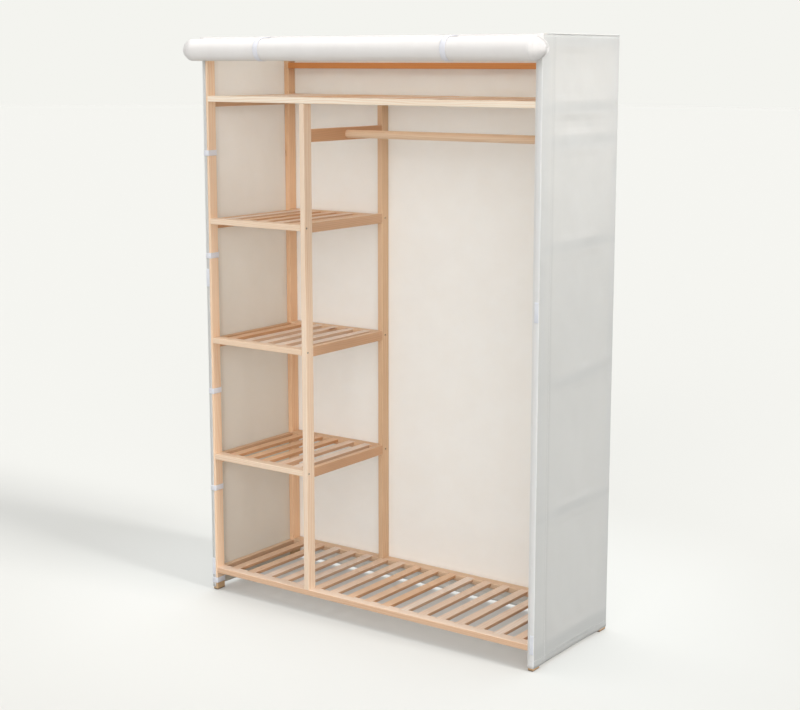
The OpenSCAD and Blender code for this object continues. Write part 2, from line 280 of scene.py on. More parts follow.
def lay_floor():
    """A pale floor that glows a little for the camera, so that it meets the backdrop without a line; near the
    wardrobe it glows more and is cooler, painted light on the wardrobe's shade.
    """
    mesh = bpy.data.meshes.new("floor")
    bm = bmesh.new()
    bmesh.ops.create_grid(bm, x_segments=1, y_segments=1, size=50)
    bm.to_mesh(mesh)
    bm.free()
    floor = add_object("floor", mesh)
    material, tree, shader = new_material("studio floor")
    shader.inputs["Roughness"].default_value = 0.9
    shader.inputs["Specular IOR Level"].default_value = 0.0
    distance = tree.add("ShaderNodeVectorMath", operation="LENGTH")
    tree.join(tree.add("ShaderNodeTexCoord").outputs["Object"], distance.inputs[0])
    # Painted light: near the wardrobe the floor glows more and is a little cooler, which lightens its shade
    # there
    far = tree.ramp(distance.outputs["Value"], NEAR_END, FAR_START)
    seen = straight_rays(tree)
    color = tree.blend(seen, FLOOR_BOUNCE, tree.blend(far, FLOOR_NEAR, FLOOR_FAR))
    tree.join(color, shader.inputs["Base Color"])
    glow = tree.math("MULTIPLY", seen, tree.ramp(far, 0.0, 1.0, GLOW_NEAR, GLOW_FAR, "LINEAR"))
    shader.inputs["Emission Color"].default_value = GLOW
    tree.join(glow, shader.inputs["Emission Strength"])
    mesh.materials.append(material)


# Finishes

# Pale, warm and late wood of each tone of pine. Laths differ in tone, and each lath's tone is also fitted
# to the light on it: the paler tones of lit front laths are painted light, the darker, redder tones painted
# shade
PINE = {"pale": ((0.92, 0.76, 0.61, 1), (0.87, 0.65, 0.47, 1), (0.74, 0.48, 0.30, 1)),
        "cream": ((0.99, 0.88, 0.74, 1), (0.97, 0.77, 0.58, 1), (0.84, 0.57, 0.37, 1)),
        "rose": ((0.96, 0.84, 0.74, 1), (0.88, 0.58, 0.36, 1), (0.78, 0.49, 0.31, 1)),
        "blush": ((0.95, 0.79, 0.66, 1), (0.90, 0.66, 0.48, 1), (0.80, 0.50, 0.31, 1)),
        "peach": ((0.98, 0.74, 0.54, 1), (0.97, 0.69, 0.46, 1), (0.86, 0.52, 0.30, 1)),
        "honey": ((0.88, 0.68, 0.50, 1), (0.80, 0.53, 0.33, 1), (0.66, 0.39, 0.21, 1)),
        "amber": ((0.96, 0.70, 0.48, 1), (0.94, 0.64, 0.41, 1), (0.76, 0.43, 0.23, 1)),
        "tan": ((0.80, 0.57, 0.38, 1), (0.74, 0.50, 0.30, 1), (0.58, 0.33, 0.17, 1)),
        "deep shade": ((0.73, 0.30, 0.092, 1), (0.72, 0.285, 0.088, 1), (0.60, 0.195, 0.048, 1))}
# Painted shade on faces that are darker or redder than the rest of the lath, where less light falls:
# the axis that they look along, and their tint
SHADED = {"rose": ("X", (0.76, 0.61, 0.49, 1)), "honey": ("X", (0.80, 0.68, 0.60, 1)),
          "pale": ("X", (1.0, 0.97, 0.94, 1)), "blush": ("Y", (0.81, 0.67, 0.55, 1))}
# The turn that brings each direction of grain to X
TURN = {"x": (0, 0, 0), "y": (0, 0, math.radians(-90)), "z": (0, math.radians(90), 0)}
# Color of the knots, the painted shade on the lowest part of the posts, and the painted contact shadow
# at the posts' lower edge
KNOT = (0.20, 0.085, 0.035, 1)
FOOT_SHADE = (0.66, 0.60, 0.47, 1)
FOOT_EDGE_SHADE = (0.13, 0.085, 0.05, 1)


def build_wood_grain():
    """Pine grain that runs along X of the vector it is given."""
    group, tree, given, result = new_group(
        "pine grain",
        [("Vector", "NodeSocketVector", None),
         ("Early Wood", "NodeSocketColor", (0.8, 0.6, 0.4, 1)),
         ("Late Wood", "NodeSocketColor", (0.6, 0.36, 0.18, 1)),
         ("Ring Strength", "NodeSocketFloat", 0.6)],
        [("Color", "NodeSocketColor"), ("Roughness", "NodeSocketFloat"), ("Height", "NodeSocketFloat")])
    vector = given.outputs["Vector"]
    # Growth rings that wander along the lath, soft on the early side and sharp on the late side
    warp = tree.noise(tree.stretch(vector, (1.6, 9, 9)), 1.0, 2.0)
    warp_2 = tree.noise(tree.stretch(vector, (0.9, 5, 5), (3, 7, 1)), 1.0, 1.0)
    xyz = tree.parts(vector)
    across = tree.math("ADD", tree.math("MULTIPLY", xyz["Y"], 210), tree.math("MULTIPLY", xyz["Z"], 330))
    rings = tree.math("ADD", across, tree.math("MULTIPLY", warp, 16))
    rings = tree.math("ADD", rings, tree.math("MULTIPLY", warp_2, 11))
    saw = tree.math("FRACT", tree.math("MULTIPLY", rings, 0.55))
    late = tree.math("MULTIPLY", tree.ramp(saw, 0.25, 0.88), tree.ramp(saw, 0.90, 1.0, 1.0, 0.0))
    # Fibres, streaks that break the rings up, and a slow change of tone
    fibre = tree.noise(tree.stretch(vector, (14, 900, 900)), 1.0, 3.0, 0.6)
    streak = tree.noise(tree.stretch(vector, (2.5, 130, 130)), 1.0, 3.0, 0.55)
    tone = tree.noise(tree.stretch(vector, (1.1, 14, 14), (5, 2, 9)), 1.0, 2.0)
    late = tree.math("MULTIPLY", late, tree.ramp(streak, 0.25, 0.75, 0.45, 1.0))
    strength = tree.math("MULTIPLY", late, given.outputs["Ring Strength"])
    strength = tree.math("ADD", strength, tree.ramp(tone, 0.3, 0.75, -0.10, 0.22), clamp=True)
    color = tree.blend(strength, given.outputs["Early Wood"], given.outputs["Late Wood"])
    shade = tree.ramp(fibre, 0.2, 0.8, 0.95, 1.04)
    color = tree.blend(1.0, color, shade, "MULTIPLY")
    # A knot with its halo in a few cells
    cells = tree.add("ShaderNodeTexVoronoi", feature="F1")
    tree.join(tree.stretch(vector, (4.2, 19, 19), (0.35, 0.2, 0.4)), cells.inputs["Vector"])
    cells.inputs["Scale"].default_value = 1.0
    pick = tree.add("ShaderNodeSeparateColor")
    tree.join(cells.outputs["Color"], pick.inputs["Color"])
    few = tree.math("GREATER_THAN", pick.outputs[0], 0.72)
    wobble = tree.noise(tree.stretch(vector, (60, 160, 160)), 1.0, 2.0)
    reach = tree.math("ADD", cells.outputs["Distance"], tree.math("MULTIPLY", wobble, 0.05))
    knot = tree.math("MULTIPLY", tree.ramp(reach, 0.075, 0.12, 1.0, 0.0), few)
    halo = tree.math("MULTIPLY", tree.ramp(reach, 0.09, 0.26, 0.5, 0.0), few)
    color = tree.blend(halo, color, given.outputs["Late Wood"])
    color = tree.blend(tree.math("MULTIPLY", knot, 0.8), color, KNOT)
    tree.join(color, result.inputs["Color"])
    polish = tree.math("MULTIPLY", late, -0.06)
    rough = tree.math("ADD", tree.ramp(fibre, 0.2, 0.8, 0.42, 0.56), polish)
    tree.join(rough, result.inputs["Roughness"])
    height = tree.math("ADD", tree.math("MULTIPLY", fibre, 0.5), tree.math("MULTIPLY", late, 0.35))
    tree.join(height, result.inputs["Height"])
    return group


def build_lath_number():
    """Gives each lath or slat its own tone and its own stretch of grain, by the cell that it lies in."""
    group, tree, given, result = new_group(
        "lath number",
        [("Vector", "NodeSocketVector", None),
         ("Cells", "NodeSocketVector", (1, 1, 1)),
         ("Shift", "NodeSocketVector", (0, 0, 0))],
        [("Vector", "NodeSocketVector"), ("Tone", "NodeSocketFloat")])
    place = tree.add("ShaderNodeVectorMath", operation="MULTIPLY_ADD")
    for k, name in enumerate(("Vector", "Cells", "Shift")):
        tree.join(given.outputs[name], place.inputs[k])
    number = tree.add("ShaderNodeVectorMath", operation="FLOOR")
    tree.join(place.outputs[0], number.inputs[0])
    chance = tree.add("ShaderNodeTexWhiteNoise", noise_dimensions="3D")
    tree.join(number.outputs[0], chance.inputs["Vector"])
    jump = tree.add("ShaderNodeVectorMath", operation="MULTIPLY_ADD")
    tree.join(chance.outputs["Color"], jump.inputs[0])
    jump.inputs[1].default_value = (5.0, 3.0, 3.0)
    tree.join(given.outputs["Vector"], jump.inputs[2])
    tree.join(jump.outputs[0], result.inputs["Vector"])
    tree.join(chance.outputs["Value"], result.inputs["Tone"])
    return group


def build_weave():
    """Plain weave in metres of the piece's own UV map, with slubs and a soft mottle."""
    group, tree, given, result = new_group(
        "plain weave",
        [("UV", "NodeSocketVector", None),
         ("Threads per Metre", "NodeSocketFloat", 900.0)],
        [("Height", "NodeSocketFloat"), ("Mottle", "NodeSocketFloat"), ("Thread", "NodeSocketFloat")])
    scaled = tree.add("ShaderNodeVectorMath", operation="SCALE")
    tree.join(given.outputs["UV"], scaled.inputs[0])
    tree.join(given.outputs["Threads per Metre"], scaled.inputs["Scale"])
    threads = tree.parts(scaled.outputs[0])
    warp = tree.math("SINE", tree.math("MULTIPLY", threads["X"], math.pi))
    weft = tree.math("SINE", tree.math("MULTIPLY", threads["Y"], math.pi))
    over = tree.math("MULTIPLY", warp, weft)
    slub = tree.noise(tree.stretch(given.outputs["UV"], (30, 700, 1)), 1.0, 2.0)
    slub_2 = tree.noise(tree.stretch(given.outputs["UV"], (700, 30, 1)), 1.0, 2.0)
    thread = tree.math("ADD", tree.math("MULTIPLY", slub, 0.5), tree.math("MULTIPLY", slub_2, 0.5))
    height = tree.math("ADD", tree.math("MULTIPLY", over, 0.5), thread)
    tree.join(height, result.inputs["Height"])
    tree.join(tree.noise(given.outputs["UV"], 9.0, 3.0, 0.6), result.inputs["Mottle"])
    tree.join(thread, result.inputs["Thread"])
    return group


def make_pine(tone, axis, cells, shift):
    """Clear matt pine whose grain runs along an axis; each lath lies between the tone's pale and warm wood.

    Upright laths are darker at the foot, near the floor: painted shade, darkest at the lowest edge.
    """
    material, tree, shader = new_material(f"{tone} pine along {axis}")
    pale, warm, late = PINE[tone]
    where = tree.add("ShaderNodeTexCoord").outputs["Object"]
    lath = place_group(tree, lath_number, Vector=where, Cells=cells, Shift=shift)
    along = tree.stretch(lath.outputs["Vector"], (1, 1, 1), turn=TURN[axis])
    early = tree.blend(tree.ramp(lath.outputs["Tone"], 0.1, 0.95), pale, warm)
    pine = place_group(tree, grain, Vector=along, Early_Wood=early, Late_Wood=late, Ring_Strength=0.5)
    color = pine.outputs["Color"]
    # Painted shade: faces that look along the tone's axis are tinted darker or redder
    if tone in SHADED:
        face, tint = SHADED[tone]
        looks = tree.parts(tree.add("ShaderNodeNewGeometry").outputs["True Normal"])
        face_shade_mask = tree.ramp(tree.math("ABSOLUTE", looks[face]), 0.55, 0.85)
        color = tree.blend(face_shade_mask, color, tree.blend(1.0, color, tint, "MULTIPLY"))
    # Painted shade near the floor: the posts darken towards their feet, most at the lowest edge
    if axis == "z":
        height = tree.parts(where)["Z"]
        foot_shaded = tree.blend(1.0, color, FOOT_SHADE, "MULTIPLY")
        color = tree.blend(tree.ramp(height, 0.020, 0.052, 1.0, 0.0), color, foot_shaded)
        color = tree.blend(tree.ramp(height, 0.0035, 0.0065, 0.85, 0.0), color, FOOT_EDGE_SHADE)
    tree.join(color, shader.inputs["Base Color"])
    tree.join(pine.outputs["Roughness"], shader.inputs["Roughness"])
    tree.bump(shader, pine.outputs["Height"], 0.12, 0.0004)
    shader.inputs["Specular IOR Level"].default_value = 0.4
    return material


# Length of a stitch and the gap after it
STITCH = 0.0036
# Colors of a thread, of the painted shade beside it where the stitches pull the cloth, of the facings'
# fold with painted light on it, and of light that comes through
THREAD = (0.86, 0.86, 0.85, 1)
STITCH_SHADE = (0.88, 0.88, 0.88, 1)
FOLD_AND_LIGHT_COLOR = (0.82, 0.815, 0.805, 1)
THROUGH = (0.93, 0.925, 0.91, 1)
# How far light spreads inside sheer cloth
SHEER_DEPTH = 0.003


def build_stitches():
    """A line of stitches at one position across a flat pattern."""
    group, tree, given, result = new_group(
        "stitches",
        [("Across", "NodeSocketFloat", 0.0), ("Along", "NodeSocketFloat", 0.0),
         ("Position", "NodeSocketFloat", 0.0)],
        [("Thread", "NodeSocketFloat"), ("Pull", "NodeSocketFloat")])
    off = tree.math("ABSOLUTE", tree.math("SUBTRACT", given.outputs["Across"], given.outputs["Position"]))
    step = tree.math("FRACT", tree.math("MULTIPLY", given.outputs["Along"], 1 / STITCH))
    on = tree.math("MULTIPLY", tree.ramp(step, 0.05, 0.16), tree.ramp(step, 0.74, 0.85, 1.0, 0.0))
    thread = tree.math("MULTIPLY", tree.ramp(off, 0.00025, 0.00055, 1.0, 0.0), on)
    tree.join(thread, result.inputs["Thread"])
    tree.join(tree.ramp(off, 0.0004, 0.0024, 1.0, 0.0), result.inputs["Pull"])
    return group


def make_cloth(name, color, shade, painted_shade_color=None, threads=900.0, relief=0.25, sheer=0.0, seams=(), through=0.0):
    """Matt woven cloth between a color and its shade.

    The piece's shade attribute darkens it towards the painted shade color where a lath or a seam lies behind
    it
    and towards the bottom: painted shade. A second attribute makes the facings paler: two layers of cloth,
    with painted light on top. The threads are counted per metre, relief is how strongly they show, and sheer
    is the share of the light that spreads inside the cloth. The seams are lines of stitches, each an axis of
    the flat pattern and a position on it, with painted shade where they pull the cloth, and through is the
    share of the light that a face lets through.
    """
    material, tree, shader = new_material(name)
    uv = tree.add("ShaderNodeUVMap", uv_map="cloth").outputs["UV"]
    cloth = place_group(tree, weave, UV=uv, Threads_per_Metre=threads)
    tint = tree.blend(tree.ramp(cloth.outputs["Mottle"], 0.3, 0.7), color, shade)
    tint = tree.blend(tree.ramp(cloth.outputs["Thread"], 0.3, 0.7, 0.0, 0.35), tint, shade)
    # Painted shade where wood, a seam or the floor's shade lies behind, and painted light on the facings
    if painted_shade_color:
        for attribute, shown in (("painted_shade", painted_shade_color), ("fold_and_painted_light", FOLD_AND_LIGHT_COLOR)):
            share = tree.add("ShaderNodeAttribute", attribute_name=attribute)
            tint = tree.blend(share.outputs["Fac"], tint, shown)
    height = cloth.outputs["Height"]
    if seams:
        flat = tree.parts(uv)
        thread, pull = 0.0, 0.0
        for axis, position in seams:
            line = place_group(tree, stitches, Across=flat[axis], Along=flat["Y" if axis == "X" else "X"],
                               Position=position)
            thread = tree.math("MAXIMUM", line.outputs["Thread"], thread)
            pull = tree.math("MAXIMUM", line.outputs["Pull"], pull)
        # Painted shade beside the stitches, where they pull the cloth in
        stitch_shaded = tree.blend(1.0, tint, STITCH_SHADE, "MULTIPLY")
        tint = tree.blend(tree.math("MULTIPLY", pull, 0.6), tint, stitch_shaded)
        tint = tree.blend(thread, tint, THREAD)
        height = tree.math("ADD", height, tree.math("MULTIPLY", thread, 2.0))
        height = tree.math("SUBTRACT", height, tree.math("MULTIPLY", pull, 1.5))
    tree.join(tint, shader.inputs["Base Color"])
    shader.inputs["Roughness"].default_value = 0.9
    shader.inputs["Specular IOR Level"].default_value = 0.2
    shader.inputs["Sheen Weight"].default_value = 0.12
    shader.inputs["Sheen Roughness"].default_value = 0.5
    shader.inputs["Subsurface Weight"].default_value = sheer
    shader.inputs["Subsurface Radius"].default_value = (1.0, 0.95, 0.90)
    shader.inputs["Subsurface Scale"].default_value = SHEER_DEPTH
    tree.bump(shader, height, relief, 0.0003)
    if through:
        passed = tree.add("ShaderNodeBsdfTranslucent")
        passed.inputs["Color"].default_value = THROUGH
        both = tree.add("ShaderNodeMixShader")
        both.inputs["Fac"].default_value = through
        tree.join(shader.outputs["BSDF"], both.inputs[1])
        tree.join(passed.outputs["BSDF"], both.inputs[2])
        tree.join(both.outputs["Shader"], tree.tree.nodes["Material Output"].inputs["Surface"])
    return material


def make_steel():
    """Dull zinc plate with fine spots, its colors painted dark to stand for the shade in the screws' holes.
    """
    material, tree, shader = new_material("zinc plated steel")
    where = tree.add("ShaderNodeTexCoord").outputs["Object"]
    spots = tree.noise(where, 900.0, 3.0, 0.6)
    # Painted shade: dark plate colors stand for the shade in the holes that the screws sit in
    color = tree.blend(tree.ramp(spots, 0.3, 0.7), (0.26, 0.24, 0.22, 1), (0.40, 0.37, 0.34, 1))
    tree.join(color, shader.inputs["Base Color"])
    tree.join(tree.ramp(spots, 0.3, 0.7, 0.28, 0.42), shader.inputs["Roughness"])
    shader.inputs["Metallic"].default_value = 1.0
    return material


# Cloth pieces

def grid_piece(name, columns, rows, place):
    """A grid whose vertex at column value u and row value v goes to place(u, v)."""
    bm = bmesh.new()
    uv_layer = bm.loops.layers.uv.new("cloth")
    bmesh.ops.create_grid(bm, x_segments=len(columns) - 1, y_segments=len(rows) - 1, size=0.5,
                          calc_uvs=False)
    for vert in bm.verts:
        i = round((vert.co.x + 0.5) * (len(columns) - 1))
        j = round((vert.co.y + 0.5) * (len(rows) - 1))
        vert.index = j * len(columns) + i
    for face in bm.faces:
        for loop in face.loops:
            j, i = divmod(loop.vert.index, len(columns))
            loop[uv_layer].uv = (columns[i], rows[j])
        face.smooth = True
    for vert in bm.verts:
        j, i = divmod(vert.index, len(columns))
        vert.co = place(columns[i], rows[j])
    mesh = bpy.data.meshes.new(name)
    bm.to_mesh(mesh)
    bm.free()
    return add_object(name, mesh)


def paint(piece, name, value_at):
    """Stores a number for each vertex, from its place."""
    layer = piece.data.attributes.new(name, "FLOAT", "POINT")
    for i, vert in enumerate(piece.data.vertices):
        layer.data[i].value = value_at(vert.co)


def thicken(piece, thickness):
    """Gives a sheet its thickness, half of it to each side."""
    solid = piece.modifiers.new("thickness", "SOLIDIFY")
    solid.thickness = thickness
    solid.offset = 0


def spread(low, high, step):
    """Even values from low to high, about a step apart."""
    count = max(1, round((high - low) / step))
    return [low + (high - low) * i / count for i in range(count + 1)]


def smooth_step(low, high, value):
    """Goes smoothly from 0 at low to 1 at high."""
    t = min(1.0, max(0.0, (value - low) / (high - low)))
    return t * t * (3 - 2 * t)


def band(value, middle, half, soft):
    """1 inside a band, falling to 0 over the soft width outside it."""
    return 1 - smooth_step(half, half + soft, abs(value - middle))


def between(value, stops):
    """Where a value lies between its two neighbouring stops, from 0 to 1."""
    for low, high in zip(stops, stops[1:]):
        if value <= high:
            return min(1.0, max(0.0, (value - low) / (high - low)))
    return 1.0


def sag_share(u, v, power=0.7):
    """How far cloth that is held at its borders sags at a place between them, from 0 to 1."""
    return math.sin(math.pi * u) ** 0.8 * math.sin(math.pi * v) ** power


def corner_point(start, corner, end, t):
    """A point on the curve that rounds a corner off, from its start at 0 to its end at 1."""
    return (1 - t) ** 2 * start + 2 * t * (1 - t) * corner + t * t * end


def rounded_line(points, round_off, step=None):
    """A line through points with its corners rounded off, and the length along it up to each point.

    Where a step is given, the straight parts are cut into pieces of about that length.
    """
    points = [Vector(point) for point in points]
    line = [points[0]]

    def go_straight(end):
        start = line[-1]
        count = max(1, round((end - start).length / step)) if step else 1
        line.extend([start.lerp(end, i / count) for i in range(1, count + 1)])

    for before, corner, after in zip(points, points[1:], points[2:]):
        start = corner + (before - corner).normalized() * round_off
        end = corner + (after - corner).normalized() * round_off
        go_straight(start)
        line.extend([corner_point(start, corner, end, t) for t in (0.25, 0.5, 0.75, 1)])
    go_straight(points[-1])
    lengths = [0.0]
    for a, b in zip(line, line[1:]):
        lengths.append(lengths[-1] + (b - a).length)
    return line, lengths


# The wrap goes from the left facing round the back to the right facing
FACING_L = FACING_W + CLOTH_GAP + CLOTH_T / 2
FACING_R = LATH_T + CLOTH_GAP + CLOTH_T / 2
CORNERS = [(-SIDE_X, -WALL_Y), (-SIDE_X, WALL_Y), (SIDE_X, WALL_Y), (SIDE_X, -WALL_Y)]
STOPS = [0.0, FACING_L]
for step in (2 * WALL_Y, 2 * SIDE_X, 2 * WALL_Y, FACING_R):
    STOPS.append(STOPS[-1] + step)
PATH = [(-SIDE_X + FACING_L, -WALL_Y)] + CORNERS + [(SIDE_X - FACING_R, -WALL_Y)]
# Rounding of the wrap's corners, and the side panels' seam, from the front and back corners
BEND = 0.003
SEAM_IN = 0.060
# Height of the hem's stitches, and a height below the floor from which the lowest fields sag
HEM_STITCH_Z = 0.0315
SAG_BELOW = -0.10
# Size of the grid's cells up the walls
ROW_STEP = 0.009


def path_point(s):
    """The plan point at a distance along the wrap, with rounded corners, and its outward normal."""
    for k in range(len(STOPS) - 1):
        if s <= STOPS[k + 1] + 1e-9:
            break
    a, b = Vector(PATH[k]), Vector(PATH[k + 1])
    along = (b - a).normalized()
    point = a + along * (s - STOPS[k])
    normal = Vector((-along.y, along.x))
    for c in range(1, len(STOPS) - 1):
        near = s - STOPS[c]
        if abs(near) < BEND:
            corner = Vector(PATH[c])
            before = (corner - Vector(PATH[c - 1])).normalized()
            after = (Vector(PATH[c + 1]) - corner).normalized()
            t = (near + BEND) / (2 * BEND)
            start, end = corner - before * BEND, corner + after * BEND
            point = corner_point(start, corner, end, t)
            along = ((1 - t) * before + t * after).normalized()
            normal = Vector((-along.y, along.x))
    return point, normal


def side_backing(right, y, z):
    """Where a side panel lies on wood, a row wider than the wood; the rod's rail is at the right only."""
    rod_rail = band(z, ROD_Z, ROD_RAIL_H / 2 + ROW_STEP, 0.006) if right else 0.0
    posts = band(abs(y), POST_Y, LATH_W / 2 + ROW_STEP, 0.006)
    rails = max(band(z, c, CROSS_H / 2 + ROW_STEP, 0.006) for c in CROSS_Z)
    return max(posts, rails, rod_rail)


def side_shade(right, y, z):
    """Painted shade on the side panels: darker where rails and the seam lie behind, and darker towards the
    bottom, where the floor's shade falls.
    """
    waver = noise.noise((y * 14, z * 9, 3.5))
    drift = 0.006 * noise.noise((y * 6, z * 3, 9.0))
    reach = 0.35 + 0.65 * smooth_step(-0.16, 0.05, y)
    rails = 0.0
    for k, c in enumerate(CROSS_Z[1:] + ([ROD_Z] if right else [])):
        weight = 0.13 + 0.10 * noise.noise((k * 3.7, 1.0, 2.0)) + 0.12 * waver
        slope = 0.08 * y if k == 1 else 0.0
        rails = max(rails, weight * band(z, c + drift + slope, 0.004, 0.014))
    down = 1 - z / FRAME_H
    low = 0.20 * (1 - smooth_step(0.056, 0.078, z + 0.3 * drift))
    low += 0.42 * smooth_step(0.05, 0.5, down) + 0.42 * down
    seam = 0.16 * band(y, SEAM_IN - WALL_Y, 0.003, 0.007)
    return min(1.0, low + rails * reach + seam)


def back_backing(x, z, margin=0.0):
    """Where wood lies behind the back panel, or a margin wider."""
    half = LATH_T / 2 + margin
    posts = max(band(abs(x), POST_X, half, 0.004),
                band(x, COLUMN_X + LATH_T / 2, half, 0.003) * (0.07 < z < 1.56))
    rails = max(band(z, rail, half, 0.003)
                for rail in (SHELF_Z[0], SHELF_Z[4], BRACE_Z, FRAME_H - LATH_T / 2))
    column = max(band(z, c, half, 0.003) for c in SHELF_Z[1:4]) * band(x, -0.4, 0.19 + margin, 0.004)
    return max(posts, rails, column)


def on_wood(push, wood):
    """Cloth can't sag into the wood that it lies on, and stands out less from it."""
    return max(push, 0.0) * 0.6 * wood + push * (1 - wood)


def side_push(right, y, z):
    """How far a side panel stands out (+) or sags in (-)."""
    rails = [SAG_BELOW] + CROSS_Z[:4] + [ROD_Z] * right + CROSS_Z[4:]
    sag = sag_share(between(y, [-INNER_Y, INNER_Y]), between(z, rails))
    seed = 8.0 if right else 3.0
    ripple = noise.noise((y * 9, z * 2.2, seed)) * 0.0022 + noise.noise((y * 22, z * 6, seed)) * 0.0007
    diagonal = noise.noise(((y + z * 0.55) * 16, (z - y * 0.55) * 2.5, seed + 2)) * 0.0012
    push = -0.0032 * sag + (ripple + diagonal) * (0.25 + 0.75 * sag)
    push = on_wood(push, side_backing(right, y, z))
    if y < 0:
        push += 0.0005 * smooth_step(-0.0015, 0.0015, abs(y) - (WALL_Y - SEAM_IN))
    return push


def back_push(x, z):
    """How far the back panel stands out (+) or sags in (-)."""
    if x < COLUMN_X:
        posts = [-INNER_X, COLUMN_X]
        rails = [SAG_BELOW] + SHELF_Z + [BRACE_Z, FRAME_H - LATH_T]
        depth = 0.003
    else:
        posts = [COLUMN_X + LATH_T, INNER_X]
        rails = [SAG_BELOW, SHELF_Z[0], SHELF_Z[4], BRACE_Z, FRAME_H - LATH_T]
        depth = 0.006
    sag = sag_share(between(x, posts), between(z, rails))
    ripple = noise.noise((x * 7, z * 1.6, 5.0)) * 0.0035 + noise.noise((x * 20, z * 5, 5.5)) * 0.0008
    diagonal = noise.noise(((x + z * 0.5) * 9, (z - x * 0.5) * 2.0, 7.0)) * 0.0016
    diagonal += noise.noise((x * 24, z * 1.3, 11.0)) * 0.0016
    diagonal += noise.noise(((x - z * 0.35) * 19, (z + x * 0.35) * 2.4, 13.0)) * 0.0012
    push = -depth * sag + (ripple + diagonal) * (0.2 + 0.8 * sag)
    return on_wood(push, back_backing(x, z, 0.010))


def wrap_push(s, z):
    """How far the walls stand out (+) or sag in (-) at a place on the wrap, less so near its corners."""
    if STOPS[1] < s < STOPS[2]:
        push = side_push(False, s - STOPS[1] - WALL_Y, z)
    elif STOPS[2] <= s <= STOPS[3]:
        push = back_push(s - STOPS[2] - SIDE_X, z)
    elif STOPS[3] < s < STOPS[4]:
        push = side_push(True, STOPS[3] + WALL_Y - s, z)
    else:
        push = max(0.0, 0.0003 + 0.0006 * noise.noise((z * 9, s * 30, 1.0)))
    push += 0.0005 * smooth_step(HEM_STITCH_Z + 0.003, HEM_STITCH_Z + 0.001, z)
    push -= 0.0006 * band(z, HEM_STITCH_Z, 0.0004, 0.0012)
    fade = min([1.0] + [abs(s - stop) / 0.012 for stop in STOPS[1:5]])
    return push * (0.25 + 0.75 * fade)


def make_wrap(material, painted_light_inside):
    """The walls of the cover in one length of cloth, from facing to facing."""
    columns = set()
    for low, high in zip(STOPS, STOPS[1:]):
        columns.update(spread(low, high, 0.008))
    for stop in STOPS[1:5]:
        columns.update(stop + d for d in (-BEND, -BEND / 2, BEND / 2, BEND))
    for seam in (STOPS[1] + SEAM_IN, STOPS[4] - SEAM_IN):
        columns.update(seam + d * 0.0012 for d in range(-4, 5))
    merged = []
    for s in sorted(columns):
        if not merged or s - merged[-1] > 0.0008:
            merged.append(s)
    rows = spread(HEM_Z, HEM_STITCH_Z - 0.0045, 0.007)
    rows += [HEM_STITCH_Z + 0.001 * k for k in range(-2, 4)]
    rows += spread(HEM_STITCH_Z + 0.0085, ROOF_Z - CLOTH_T, ROW_STEP)

    def place(s, z):
        point, normal = path_point(s)
        point = point + normal * wrap_push(s, z)
        point = point - normal * smooth_step(ROOF_Z - 0.004, ROOF_Z, z) * 0.001
        return (point.x, point.y, z)

    # Painted shade: on the side panels where rails and the seam lie behind and towards the bottom, on the
    # back panel a little where wood lies behind
    def behind(co):
        if abs(co.x) > SIDE_X - 0.010:
            return side_shade(co.x > 0, co.y, co.z)
        if co.y > 0:
            return 0.3 * back_backing(co.x, co.z)
        return 0.0

    def facing_fold_and_light(co):
        """The facings are two layers of cloth, which is paler, with painted light on top; how pale each is
        painted is fitted to the photograph, the right facing fully and the left less.
        """
        front = 1 - smooth_step(0.0005, 0.002, co.y + WALL_Y)
        return front * (1.0 if co.x > 0 else 0.3)

    piece = grid_piece("cloth_walls", merged, rows, place)
    paint(piece, "painted_shade", behind)
    paint(piece, "fold_and_painted_light", facing_fold_and_light)
    thicken(piece, CLOTH_T)
    piece.modifiers["thickness"].material_offset = 1
    # The inside face's material is the brighter, warmer copy of the cloth: painted light
    piece.data.materials.append(painted_light_inside)
    piece.data.materials.append(material)
    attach(piece, "wardrobe")
    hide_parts("cover_left", "cover_right", "cover_back", "facing_left", "facing_right")


def make_roof(material, painted_light_inside):
    """The roof of the cover, which sags between the rails and the end frames."""
    edge_x, edge_y = SIDE_X + CLOTH_T / 2, WALL_Y + CLOTH_T / 2

    def place(x, y):
        sag = sag_share(between(y, [-INNER_Y, INNER_Y]), between(x, [-INNER_X, INNER_X]), 0.5)
        ripple = noise.noise((x * 3, y * 12, 4.0)) * 0.002 + noise.noise((x * 12, y * 5, 6.0)) * 0.001
        return (x, y, ROOF_Z - 0.006 * sag + ripple * sag)

    # Painted shade on the roof where the posts and rails lie under it
    def behind(co):
        return max(band(abs(co.y), POST_Y, LATH_W / 2, 0.004), band(abs(co.x), POST_X, LATH_T / 2, 0.004))

    piece = grid_piece("cloth_roof", spread(-edge_x, edge_x, 0.012), spread(-edge_y, edge_y, 0.008), place)
    paint(piece, "painted_shade", behind)
    thicken(piece, CLOTH_T)
    piece.modifiers["thickness"].material_offset = 1
    piece.data.materials.append(material)
    # The inside face's material is the brighter, warmer copy of the cloth: painted light
    piece.data.materials.append(painted_light_inside)
    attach(piece, "wardrobe")
    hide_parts("cover_roof")


